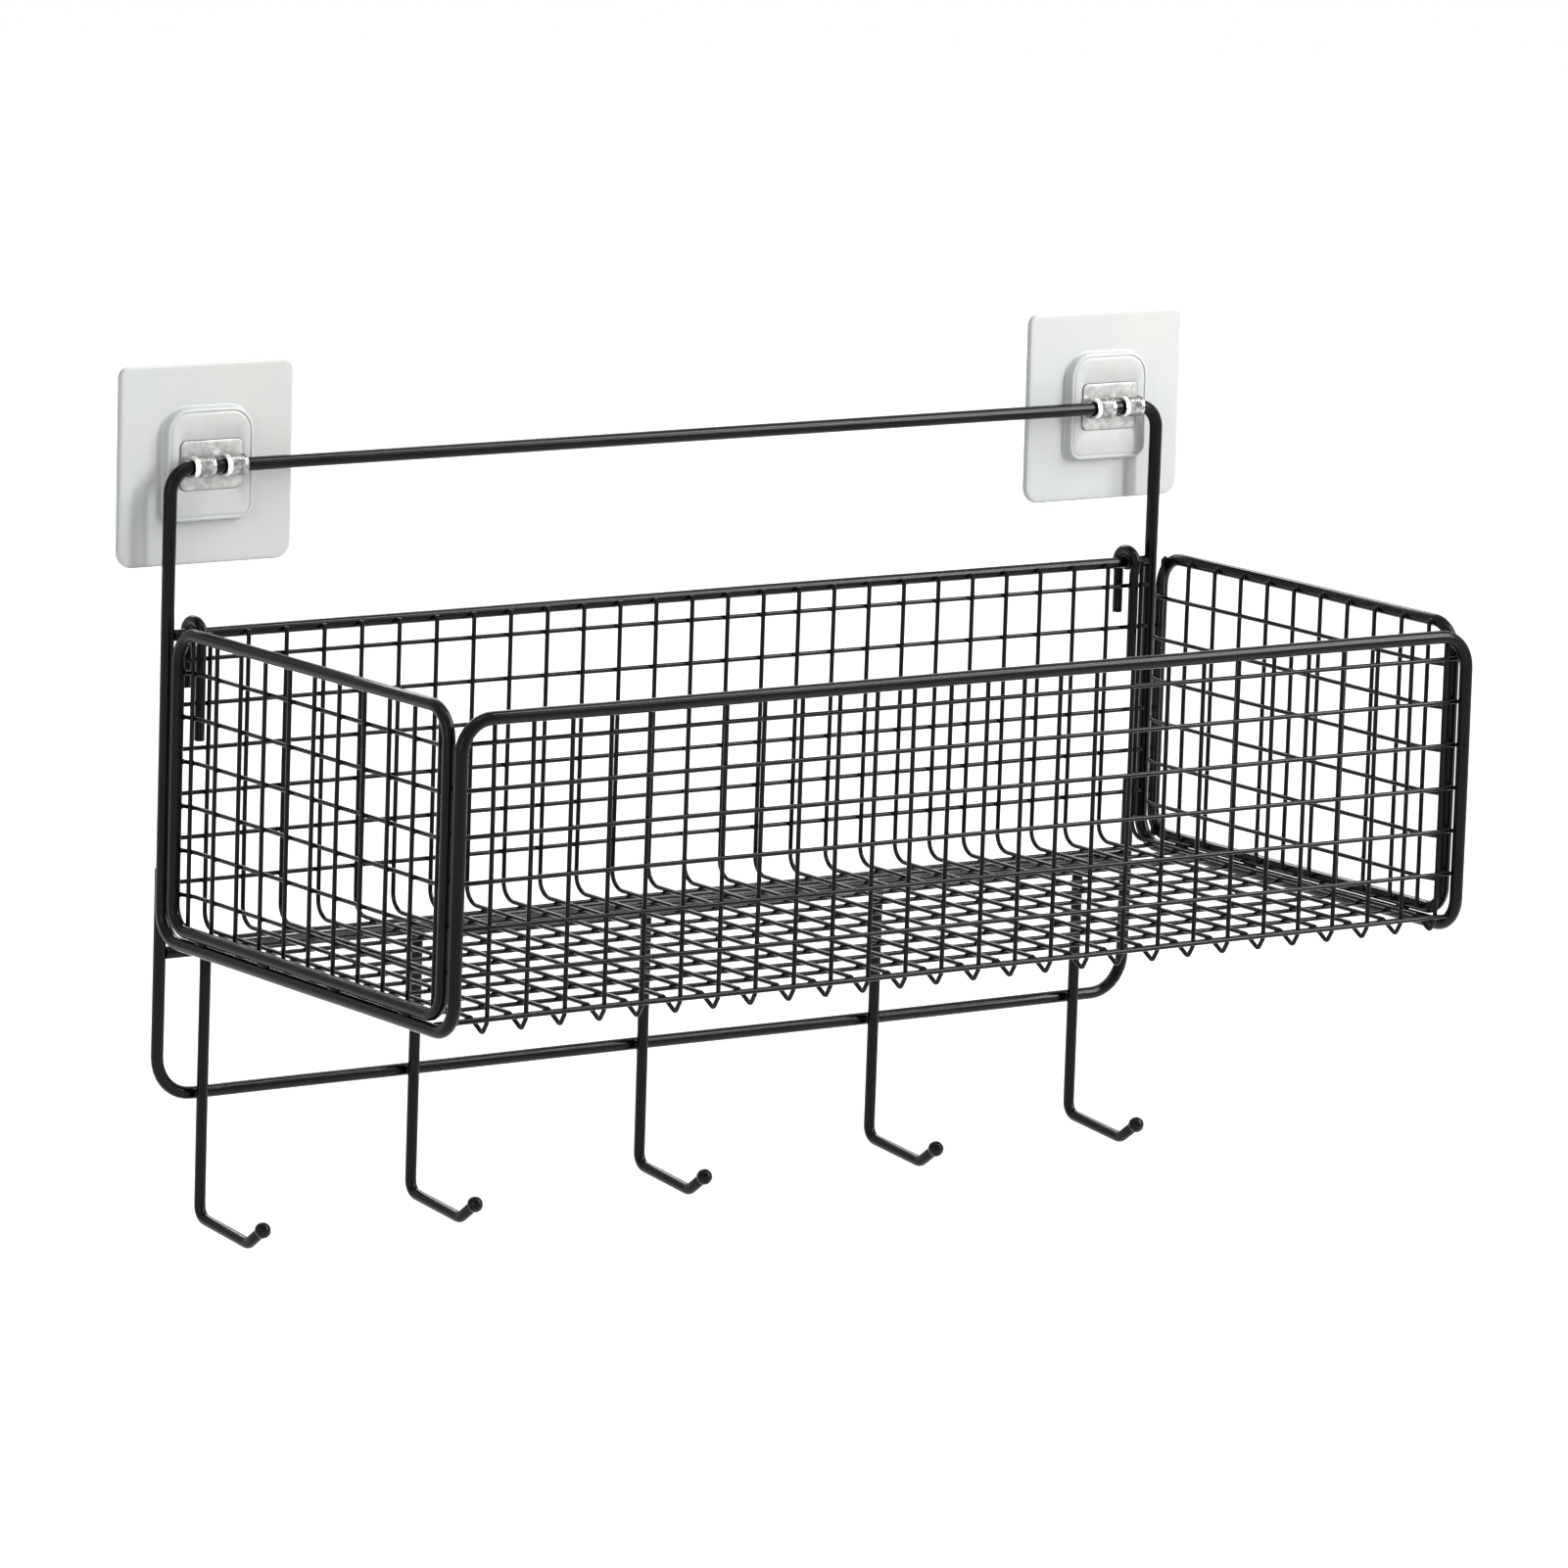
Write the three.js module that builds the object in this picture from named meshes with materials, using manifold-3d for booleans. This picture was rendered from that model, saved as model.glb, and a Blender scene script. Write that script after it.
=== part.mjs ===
// Wall storage basket: a welded wire trough with end frames, hung by a round rail in two clips on
// clear wall pads, with five hooks under it. Millimetres, +Z up, +Y into the wall, which is y = 0.
// One long wire is the rail, both back posts, the bottom side rails, the front posts and the rim.
// x = 0 is the middle of the basket and z = 0 is the centre line of the rail.
// The most skilled feature is the bent wire mesh: every cross wire runs down the front, turns in a
// tight drooping bend under the front edge, crosses the floor and turns up the back.
import * as THREE from "three";
import Module from "manifold-3d";

const wasm = await Module();
wasm.setup();
const { Manifold, Mesh: SolidMesh, CrossSection } = wasm;

// Sizes of the basket, all between wire centres
const basketLength = 396;
const basketDepth = 172;
const basketHeight = 98.5;
const rimDrop = 54; // rail down to the basket's rim
const railCorner = 8;
const rimCorner = 11;
const bottomCorner = 10;

// Wires, by diameter
const frameWire = 4.4;
const endWire = 4.2;
const backRimWire = 3.8;
const barWire = 4.2;
const gripWire = 3.4;
const hookWire = 3.8;
const meshWire = 1.5;

// End frames, nested inside the bent ends of the main frame
const endInset = 7;
const endRise = 2.5;
const endTopCorner = 10;
const endBottomCorner = 8;

// Mesh
const meshPitch = 14.45;
const firstCrossWire = 14.2; // from the left frame wire to the first cross wire
const firstLineDrop = 7.9; // rim down to the first line wire
const firstFloorLine = 10.8;
const crossRoom = 5; // least space left after the last cross wire, and so on for the others
const frontRoom = 3.5;
const floorRoom = 9;
const backRoom = 10;
const endUprightRoom = 3.5;
const endLineRoom = 5;
const tipDrop = 3.8; // how far the front bends droop under the floor
const tipBack = 2.4; // from the front mesh back to the lowest point of its bends
const tipRun = 9.2;
const tipBend = 1.2;
const backBend = 6;
const floorRise = 2.6; // floor over the frame's bottom wire
const firstEndUpright = 9.4;
const firstEndLine = 10.8;
const weldSpot = 0.6; // side of one weld between two mesh wires
const weldSink = 0.12;
const meshLift = 0.1; // space between crossing mesh wires where no weld is drawn
const weldStride = 13; // a weld on every thirteenth wire, both ways

// Lower loop, grips over the back rim, and hooks
const gripAside = 4.2; // from the grip to the last cross wire before the basket's end
const gripInside = 34;
const gripBehind = 18;
const backBarUnder = 6; // under the basket's bottom
const hookBarUnder = 47.2; // under the back bar
const loopInset = 2.2;
const loopCorner = 13;
const loopOverlap = 12;
const hookSpots = [-0.457, -0.251, -0.021, 0.219, 0.434]; // of the basket's length
const hookUnder = 43.3; // hook's lowest wire under the hook bar
const hookHeel = 4.5;
const hookReach = 30;
const hookDip = 2.8;
const hookTipRun = 8.6;
const hookTipRise = 6.2;
const hookBall = 5.4;
const hookTopOver = 1.9;

// Wall mounts
const railOut = 9; // wall to rail centre
const padSide = 65;
const padCorner = 5;
const adhesiveThick = 0.5;
const padThick = 1.6;
const bossWide = 33;
const bossTall = 37;
const bossCorner = 7;
const bossThick = 2.8;
const bossTaper = 0.94;
const plateWide = 23;
const plateTall = 16;
const plateThick = 1.1;
const plateCorner = 2;
const fingerLength = 7.9;
const fingerSpace = 4.2;
const fingerSheet = 0.9;
const fingerSlot = 1.6;
const slotTurn = -45; // degrees, towards the wall and up
const mountInset = 17.5; // back post to the middle of its mount

// Fits
const weldGap = 0.3; // between wires that are welded but drawn as separate pieces
const turnGap = 0.35; // around the rail in its clips
const plateGap = 0.3;

// Facets
const heavySides = 8;
const lightSides = 6;
const bendSteps = 4;
const roundSteps = 20;
const ballSteps = 8;
const sharpestTurn = 0.5; // keeps a mitred ring from running away
const straight = 1e-12; // a turn smaller than this is none

const half = (size) => size / 2;
const place = (x, y, z) => new THREE.Vector3(x, y, z);
const meshFlat = half(meshWire) * Math.cos(Math.PI / lightSides);
const layer = 2 * meshFlat + meshLift; // between the two layers of mesh wires

// How many wires fit, one pitch apart
const wiresIn = (room) => 1 + Math.floor(room / meshPitch);

// Where things stand, in the rack's own frame: the rail and the back posts are at y = 0
const endX = half(basketLength);
const frontY = -basketDepth;
const rimZ = -rimDrop;
const bottomZ = rimZ - basketHeight;
const floorZ = bottomZ + floorRise;
const skinStep = half(frameWire) + weldGap + meshFlat;
const frontMeshY = frontY + skinStep;
const backMeshY = -skinStep;
const meshTopZ = rimZ + half(meshWire);
const lineEndX = endX - half(frameWire) - weldGap;
// A front line near the rim stops where the frame's corner turns inwards
const cornerInset = (short) => rimCorner - Math.sqrt(rimCorner ** 2 - short ** 2);
const frontReach = (z) => lineEndX - cornerInset(Math.max(rimCorner - (rimZ - z) + meshWire, 0));
const crossX = (i) => -endX + firstCrossWire + i * meshPitch;
const lineZ = (k) => rimZ - firstLineDrop - k * meshPitch;
const floorLineY = (k) => frontMeshY + firstFloorLine + k * meshPitch;
const crossWires = wiresIn(basketLength - firstCrossWire - crossRoom);
const frontLines = wiresIn(basketHeight - firstLineDrop - frontRoom);
const backLines = wiresIn(basketHeight - firstLineDrop - backRoom);
const floorLines = wiresIn(backMeshY - frontMeshY - firstFloorLine - floorRoom);
const endLowZ = bottomZ + half(frameWire) + weldGap + half(endWire);
const endUprights = wiresIn(basketDepth - 2 * endInset - firstEndUpright - endUprightRoom);
const endLines = wiresIn(rimZ - endLowZ - firstEndLine - endLineRoom);
const backBarZ = bottomZ - backBarUnder;
const hookBarZ = backBarZ - hookBarUnder;
const loopX = endX - loopInset;
const loopY = half(frameWire) + weldGap + half(barWire);
const hookY = loopY - (half(barWire) + weldGap + half(hookWire));
const gripX = (side) => crossX(side < 0 ? 0 : crossWires - 1) - gripAside;
const gripBend = skinStep - layer + meshFlat + weldGap + half(gripWire);
const mountX = endX - mountInset;

// A wire's centre line: corners are [point, radius], and each rounded corner becomes short steps
function centreLine(corners, closed, steps = bendSteps) {
  const line = [];
  const count = corners.length;
  corners.forEach(([corner, radius], i) => {
    const ends = !closed && (i === 0 || i === count - 1);
    if (ends || !radius) {
      line.push(corner.clone());
      return;
    }
    const before = corners[(i + count - 1) % count][0];
    const after = corners[(i + 1) % count][0];
    line.push(...arcAt(corner, before, after, radius, steps));
  });
  return line;
}

// The points of the arc that rounds one corner
function arcAt(corner, before, after, radius, steps) {
  const back = before.clone().sub(corner).normalize();
  const ahead = after.clone().sub(corner).normalize();
  const opening = back.angleTo(ahead);
  const reach = radius / Math.tan(half(opening));
  const start = corner.clone().addScaledVector(back, reach);
  const middle = back.clone().add(ahead).normalize();
  const centre = corner.clone().addScaledVector(middle, radius / Math.sin(half(opening)));
  const spoke = start.clone().sub(centre);
  const axis = new THREE.Vector3().crossVectors(ahead, back).normalize();
  const turn = Math.PI - opening;
  const points = [];
  for (let s = 0; s <= steps; s++) {
    points.push(spoke.clone().applyAxisAngle(axis, (turn * s) / steps).add(centre));
  }
  return points;
}

// The direction of the line at each point, and the stretch that keeps a mitred ring full width
function headings(line, closed) {
  const count = line.length;
  return line.map((point, i) => {
    const last = !closed && i === count - 1;
    const first = !closed && i === 0;
    const ahead = line[(i + 1) % count].clone().sub(point).normalize();
    const behind = point.clone().sub(line[(i + count - 1) % count]).normalize();
    if (first) return { along: ahead, bend: null };
    if (last) return { along: behind, bend: null };
    const along = ahead.clone().add(behind).normalize();
    const bend = ahead.clone().sub(behind);
    const sharp = 1 / Math.max(along.dot(ahead), sharpestTurn);
    return { along, bend: bend.lengthSq() > straight ? bend.normalize() : null, sharp };
  });
}

// Rings of a wire round its centre line; the first ring has a flat face towards "flat"
function wireRings(line, radius, sides, closed, flat) {
  const turns = headings(line, closed);
  let side = flat.clone().addScaledVector(turns[0].along, -flat.dot(turns[0].along)).normalize();
  let along = turns[0].along;
  return turns.map((turn) => {
    const carry = new THREE.Quaternion().setFromUnitVectors(along, turn.along);
    side = side.clone().applyQuaternion(carry);
    along = turn.along;
    return ringAt(line[turns.indexOf(turn)], side, turn, radius, sides);
  });
}

function ringAt(centre, side, turn, radius, sides) {
  const other = new THREE.Vector3().crossVectors(turn.along, side);
  const ring = [];
  for (let s = 0; s < sides; s++) {
    const angle = (2 * Math.PI * (s + half(1))) / sides;
    const spoke = side.clone().multiplyScalar(Math.cos(angle)).addScaledVector(other, Math.sin(angle));
    if (turn.bend) spoke.addScaledVector(turn.bend, spoke.dot(turn.bend) * (turn.sharp - 1));
    ring.push(spoke.multiplyScalar(radius).add(centre));
  }
  return ring;
}

// A closed loop's last ring meets its first one a whole number of facets round
function facetShift(last, first) {
  const sides = first.length;
  const miss = (shift) =>
    first.reduce((sum, point, s) => sum + point.distanceToSquared(last[(s + shift) % sides]), 0);
  let best = 0;
  for (let shift = 1; shift < sides; shift++) if (miss(shift) < miss(best)) best = shift;
  return best;
}

function skinRings(rings, closed) {
  const sides = rings[0].length;
  const faces = [];
  const at = (ring, s) => ring * sides + (s % sides);
  for (let r = 0; r + 1 < rings.length; r++) {
    for (let s = 0; s < sides; s++) {
      faces.push(at(r, s), at(r, s + 1), at(r + 1, s + 1), at(r, s), at(r + 1, s + 1), at(r + 1, s));
    }
  }
  const end = rings.length - 1;
  if (closed) {
    const shift = facetShift(rings[end], rings[0]);
    for (let s = 0; s < sides; s++) {
      const a = at(end, s + shift);
      const b = at(end, s + 1 + shift);
      faces.push(a, b, at(0, s + 1), a, at(0, s + 1), at(0, s));
    }
  } else {
    for (let s = 1; s + 1 < sides; s++) {
      faces.push(at(0, 0), at(0, s + 1), at(0, s), at(end, 0), at(end, s), at(end, s + 1));
    }
  }
  return faces;
}

// A round wire as a solid. Straight facets lie inside a circle, so the ring stands on its corners.
function wire(line, diameter, { sides = heavySides, closed = false, flat = place(0, 0, 1) } = {}) {
  const rings = wireRings(line, half(diameter), sides, closed, flat);
  const corners = rings.flat().flatMap((point) => [point.x, point.y, point.z]);
  const faces = skinRings(rings, closed);
  const made = new Manifold(
    new SolidMesh({
      numProp: 3,
      vertProperties: new Float32Array(corners),
      triVerts: new Uint32Array(faces),
    }),
  );
  return made;
}

// A straight mesh wire between two points, with one flat face towards "flat"
const meshBar = (from, to, flat) => wire([from, to], meshWire, { sides: lightSides, flat });

function weldAt(point, thin) {
  const deep = meshLift + 2 * weldSink;
  const size = ["x", "y", "z"].map((name) => (name === thin ? deep : weldSpot));
  return Manifold.cube(size, true).translate([point.x, point.y, point.z]);
}

const weldedHere = (i, count) => i % weldStride === 0 || i === count - 1;

// One cross wire: down the front, under, along the floor and up the back
function crossWire(x) {
  const corners = [
    [place(x, frontMeshY, meshTopZ), 0],
    [place(x, frontMeshY, floorZ), 0],
    [place(x, frontMeshY + tipBack, floorZ - tipDrop), tipBend],
    [place(x, frontMeshY + tipRun, floorZ), 0],
    [place(x, backMeshY, floorZ), backBend],
    [place(x, backMeshY, meshTopZ), 0],
  ];
  const line = centreLine(corners, false, bendSteps);
  return wire(line, meshWire, { sides: lightSides, flat: place(0, 1, 0) });
}

// Every line wire of the trough: where it runs, which way it leans on the cross wires
function troughLines() {
  const lines = [];
  const add = (y, z, out, reach) => lines.push({ y, z, out, reach });
  for (let k = 0; k < frontLines; k++) add(frontMeshY, lineZ(k), [-1, 0], frontReach(lineZ(k)));
  for (let k = 0; k < floorLines; k++) add(floorLineY(k), floorZ, [0, -1], lineEndX);
  for (let k = 0; k < backLines; k++) add(backMeshY, lineZ(k), [1, 0], lineEndX);
  return lines;
}

function lineBar({ y, z, out, reach }) {
  const [outY, outZ] = out;
  const at = (x) => place(x, y + outY * layer, z + outZ * layer);
  return meshBar(at(-reach), at(reach), place(0, outY, outZ));
}

function troughWelds(lines) {
  const welds = [];
  for (let i = 0; i < crossWires; i++) {
    lines.forEach(({ y, z, out }, k) => {
      if (!weldedHere(i, crossWires) && !weldedHere(k, lines.length)) return;
      const [outY, outZ] = out;
      const spot = place(crossX(i), y + half(outY * layer), z + half(outZ * layer));
      welds.push(weldAt(spot, outZ ? "z" : "y"));
    });
  }
  return welds;
}

function troughMesh() {
  const crosses = Array.from({ length: crossWires }, (_, i) => crossWire(crossX(i)));
  const lines = troughLines();
  return Manifold.union([...crosses, ...lines.map(lineBar), ...troughWelds(lines)]);
}

// Mesh of one end: uprights against the end frame's inner side, lines inside them
function endMesh(side) {
  const uprightAt = side * (endX - half(endWire) - weldGap - meshFlat);
  const lineAt = uprightAt - side * layer;
  const startY = frontY + endInset;
  const stopY = -endInset;
  const flat = place(1, 0, 0);
  const solids = [];
  const uprightY = (i) => startY + firstEndUpright + i * meshPitch;
  const rowZ = (k) => rimZ - firstEndLine - k * meshPitch;
  for (let i = 0; i < endUprights; i++) {
    const y = uprightY(i);
    solids.push(meshBar(place(uprightAt, y, endLowZ), place(uprightAt, y, rimZ + endRise), flat));
  }
  for (let k = 0; k < endLines; k++) {
    solids.push(meshBar(place(lineAt, startY, rowZ(k)), place(lineAt, stopY, rowZ(k)), flat));
    for (let i = 0; i < endUprights; i++) {
      if (!weldedHere(i, endUprights) && !weldedHere(k, endLines)) continue;
      solids.push(weldAt(place(half(uprightAt + lineAt), uprightY(i), rowZ(k)), "x"));
    }
  }
  return Manifold.union(solids);
}

// The main frame: one closed wire, from the rail down the back posts, forward under both ends, up the
// front posts and along the front rim
function mainFrame() {
  const corner = (side, y, z, radius) => [place(side * endX, y, z), radius];
  const line = centreLine(
    [
      corner(-1, 0, 0, railCorner),
      corner(1, 0, 0, railCorner),
      corner(1, 0, bottomZ, bottomCorner),
      corner(1, frontY, bottomZ, bottomCorner),
      corner(1, frontY, rimZ, rimCorner),
      corner(-1, frontY, rimZ, rimCorner),
      corner(-1, frontY, bottomZ, bottomCorner),
      corner(-1, 0, bottomZ, bottomCorner),
    ],
    true,
  );
  return wire(line, frameWire, { closed: true, flat: place(0, 1, 0) });
}

function endFrame(side) {
  const x = side * endX;
  const topZ = rimZ + endRise;
  const line = centreLine(
    [
      [place(x, frontY + endInset, topZ), endTopCorner],
      [place(x, -endInset, topZ), endTopCorner],
      [place(x, -endInset, endLowZ), endBottomCorner],
      [place(x, frontY + endInset, endLowZ), endBottomCorner],
    ],
    true,
  );
  return wire(line, endWire, { closed: true });
}

// A straight wire across the back
function crossBar(reach, y, z, diameter) {
  return wire([place(-reach, y, z), place(reach, y, z)], diameter, { flat: place(0, 1, 0) });
}

const backRim = () => crossBar(lineEndX, 0, rimZ, backRimWire);
const backBar = () => crossBar(loopX - half(barWire) - weldGap, loopY, backBarZ, barWire);

// The lower loop, its two legs welded behind the back posts
function lowerLoop() {
  const topZ = bottomZ + bottomCorner + loopOverlap;
  const line = centreLine([
    [place(-loopX, loopY, topZ), 0],
    [place(-loopX, loopY, hookBarZ), loopCorner],
    [place(loopX, loopY, hookBarZ), loopCorner],
    [place(loopX, loopY, topZ), 0],
  ]);
  return wire(line, barWire, { flat: place(0, 1, 0) });
}

// A grip: short wire bent over the back rim, with one leg behind it and a longer one inside
function rimGrip(side) {
  const x = gripX(side);
  const line = [place(x, gripBend, rimZ - gripBehind)];
  for (let s = 0; s <= 2 * bendSteps; s++) {
    const turn = (Math.PI * s) / (2 * bendSteps);
    line.push(place(x, gripBend * Math.cos(turn), rimZ + gripBend * Math.sin(turn)));
  }
  line.push(place(x, -gripBend, rimZ - gripInside));
  return wire(line, gripWire, { flat: place(1, 0, 0) });
}

// One hook: straight down over both bars, forward, and a short rising tip with a ball on it
function hook(spot) {
  const x = spot * basketLength;
  const armY = hookY - hookReach;
  const lowZ = hookBarZ - hookUnder;
  const tip = place(x, armY - hookTipRun, lowZ + hookTipRise);
  const line = centreLine([
    [place(x, hookY, backBarZ + hookTopOver), 0],
    [place(x, hookY, lowZ + hookDip), hookHeel],
    [place(x, armY, lowZ), hookHeel],
    [tip, 0],
  ]);
  const ball = Manifold.sphere(half(hookBall), ballSteps).translate([tip.x, tip.y, tip.z]);
  return wire(line, hookWire, { flat: place(1, 0, 0) }).add(ball);
}

// A rounded rectangle that stands on the wall, from depth "near" to depth "far"
function wallSlab(wide, tall, corner, near, far, taper = 1) {
  const core = CrossSection.square([wide - 2 * corner, tall - 2 * corner], true);
  const shape = core.offset(corner, "Round", 2, roundSteps);
  return shape.extrude(far - near, 0, 0, [taper, taper]).rotate([90, 0, 0]).translate([0, -near, 0]);
}

const padFace = adhesiveThick + padThick;
const bossFace = padFace + bossThick;
const plateBack = bossFace - half(plateThick);

const adhesive = () => wallSlab(padSide, padSide, padCorner, 0, adhesiveThick);
const pad = () => wallSlab(padSide, padSide, padCorner, adhesiveThick, padFace);

// The raised boss, with a shallow bed for the clip's plate
function boss() {
  const block = wallSlab(bossWide, bossTall, bossCorner, padFace, bossFace, bossTaper);
  const grow = 2 * plateGap;
  const bed = wallSlab(plateWide + grow, plateTall + grow, plateCorner, plateBack, 2 * railOut);
  return block.subtract(bed);
}

// The clip: a plate and two fingers curled round the rail, each open by a slot at its upper back
function clip() {
  const plate = wallSlab(plateWide, plateTall, plateCorner, plateBack, plateBack + plateThick);
  const inner = half(frameWire) + turnGap;
  const outer = inner + fingerSheet;
  const slot = CrossSection.square([fingerSlot, 2 * outer]).rotate(slotTurn);
  const curl = CrossSection.circle(outer, roundSteps).subtract(CrossSection.circle(inner, roundSteps));
  const finger = curl
    .subtract(slot)
    .extrude(fingerLength)
    .rotate([90, 0, 90])
    .translate([0, -railOut, 0]);
  const step = half(fingerSpace);
  const stem = wallSlab(fingerLength, fingerSheet, half(half(fingerSheet)), plateBack, railOut);
  const stemAt = step + half(fingerLength);
  const stemZ = -inner - half(fingerSheet);
  return Manifold.union([
    plate,
    finger.translate([step, 0, 0]),
    finger.translate([-step - fingerLength, 0, 0]),
    stem.translate([stemAt, 0, stemZ]),
    stem.translate([-stemAt, 0, stemZ]),
  ]);
}

// The rack leans until its lower loop rests on the wall, turned about the rail
const loopSwing = Math.hypot(loopY, hookBarZ);
const loopRest = Math.asin((railOut - half(barWire) - weldGap) / loopSwing);
const leanAngle = loopRest - Math.atan2(loopY, -hookBarZ);

const black = new THREE.MeshStandardMaterial({ color: 0x151515, roughness: 0.4, metalness: 0.3 });
const silver = new THREE.MeshStandardMaterial({ color: 0xb8b8b8, roughness: 0.3, metalness: 1 });
const clear = new THREE.MeshStandardMaterial({ color: 0xdfe4e4, roughness: 0.2 });

function meshOf(name, solid, material) {
  const made = solid.getMesh();
  const stride = made.numProp;
  const points = new Float32Array(made.numVert * 3);
  for (let i = 0; i < made.numVert; i++) {
    points.set(made.vertProperties.subarray(i * stride, i * stride + 3), i * 3);
  }
  const shape = new THREE.BufferGeometry();
  shape.setAttribute("position", new THREE.BufferAttribute(points, 3));
  shape.setIndex(new THREE.BufferAttribute(made.triVerts, 1));
  const mesh = new THREE.Mesh(shape, material);
  mesh.name = name;
  return mesh;
}

function rack() {
  const group = new THREE.Group();
  group.position.set(0, -railOut, 0);
  group.rotation.x = leanAngle;
  const add = (name, solid) => group.add(meshOf(name, solid, black));
  add("main_frame", mainFrame());
  add("back_rim", backRim());
  add("lower_hook_bar", lowerLoop());
  add("back_bottom_bar", backBar());
  add("trough_mesh", troughMesh());
  for (const [word, side] of [["left", -1], ["right", 1]]) {
    add(word + "_end_frame", endFrame(side));
    add(word + "_end_mesh", endMesh(side));
    add(word + "_rim_grip", rimGrip(side));
  }
  hookSpots.forEach((spot, i) => add("hook_" + (i + 1), hook(spot)));
  return group;
}

function wallMount(word, side) {
  const group = new THREE.Group();
  group.position.set(side * mountX, 0, 0);
  group.add(meshOf(word + "_adhesive_sheet", adhesive(), clear));
  group.add(meshOf(word + "_wall_pad", pad(), clear));
  group.add(meshOf(word + "_pad_boss", boss(), clear));
  group.add(meshOf(word + "_rail_clip", clip(), silver));
  return group;
}

const part = new THREE.Group();
part.name = "wall_storage_basket";
part.add(rack(), wallMount("left", -1), wallMount("right", 1));

export default part;
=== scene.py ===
import math

import bmesh
import bpy
from mathutils import Matrix, Quaternion, Vector, noise


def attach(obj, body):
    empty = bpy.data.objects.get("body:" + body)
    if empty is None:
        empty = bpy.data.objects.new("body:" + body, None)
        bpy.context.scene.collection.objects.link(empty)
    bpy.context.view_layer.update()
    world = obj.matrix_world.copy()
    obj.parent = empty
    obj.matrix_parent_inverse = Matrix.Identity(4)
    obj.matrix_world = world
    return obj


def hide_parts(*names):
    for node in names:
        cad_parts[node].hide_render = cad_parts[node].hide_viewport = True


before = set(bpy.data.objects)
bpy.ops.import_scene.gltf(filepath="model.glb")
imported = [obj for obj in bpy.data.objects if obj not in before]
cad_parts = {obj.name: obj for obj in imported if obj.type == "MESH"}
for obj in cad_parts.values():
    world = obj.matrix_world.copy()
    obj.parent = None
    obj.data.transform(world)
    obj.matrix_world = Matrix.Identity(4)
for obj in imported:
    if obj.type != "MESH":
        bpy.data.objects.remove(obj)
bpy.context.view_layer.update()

# A basket of welded wire that hangs by its rail in two clips on clear pads, with five hooks under it.
# All is drawn in millimetres from the rail's middle (rack) or the wall (mounts), +Y into the wall.
MILLIMETRE = 0.001

# Sizes, the same as in the part's source
LENGTH, DEPTH, HEIGHT = 396, 172, 98.5
RIM_DROP = 54
RAIL_CORNER, RIM_CORNER, BOTTOM_CORNER = 8, 11, 10
FRAME_WIRE, END_WIRE, BACK_RIM_WIRE, BAR_WIRE = 4.4, 4.2, 3.8, 4.2
GRIP_WIRE, HOOK_WIRE, MESH_WIRE = 3.4, 3.8, 1.5
END_INSET, END_RISE, END_TOP_CORNER, END_BOTTOM_CORNER = 7, 2.5, 10, 8
MESH_PITCH = 14.45
FIRST_CROSS, FIRST_DROP, FIRST_FLOOR = 14.2, 7.9, 10.8
CROSS_ROOM, FRONT_ROOM, FLOOR_ROOM, BACK_ROOM = 5, 3.5, 9, 10
TIP_DROP, TIP_BACK, TIP_RUN, TIP_BEND, BACK_BEND, FLOOR_RISE = 3.8, 2.4, 9.2, 1.2, 6, 2.6
FIRST_UPRIGHT, FIRST_END_LINE, UPRIGHT_ROOM, END_LINE_ROOM = 9.4, 10.8, 3.5, 5
GRIP_ASIDE, GRIP_INSIDE, GRIP_BEHIND = 4.2, 34, 18
BACK_BAR_UNDER, HOOK_BAR_UNDER = 6, 47.2
LOOP_INSET, LOOP_CORNER, LOOP_OVERLAP = 2.2, 13, 12
HOOK_SPOTS = (-0.457, -0.251, -0.021, 0.219, 0.434)
HOOK_UNDER, HOOK_HEEL, HOOK_REACH, HOOK_DIP = 43.3, 4.5, 30, 2.8
HOOK_TIP_RUN, HOOK_TIP_RISE, HOOK_BALL, HOOK_TOP_OVER = 8.6, 6.2, 5.4, 1.9
RAIL_OUT = 9
PAD_SIDE, ADHESIVE, PAD_FACE = 65, 0.5, 2.1
BOSS_WIDE, BOSS_TALL, BOSS_FACE = 33, 37, 4.9
PLATE_WIDE, PLATE_TALL, PLATE_THICK, PLATE_CORNER = 23, 16, 1.1, 2
FINGER_LENGTH, FINGER_SPACE, FINGER_SHEET = 7.9, 4.2, 0.9
MOUNT_INSET = 17.5
WELD_GAP, TURN_GAP, MESH_LIFT = 0.3, 0.35, 0.1

# Looks only
HEAVY_SIDES, MESH_SIDES = 18, 10  # corners of a wire's section
HEAVY_CUT, MESH_CUT, CUT_SHARE = 0.3, 0.2, 0.3  # rounding of a cut end, and where its middle ring lies
HEAVY_STEPS, MESH_STEPS = 9, 7  # steps in a bend
STRETCH = 14  # about the longest straight stretch of a wire between two rings
BACK_RIM_OVER, BAR_OVER, LINE_OVER = 0.6, 0.4, 0.5  # straight wires run this far into their end welds
DRIFT, DRIFT_LENGTH = 0.22, 70  # how far welded wires wander, and over what length
DRIFT_SEED = 5  # picks their path; 0 would pick another one each run
DRIFT_START, DRIFT_FADE = 6, 40  # the drift sets in this far under the rail, over this height
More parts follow.
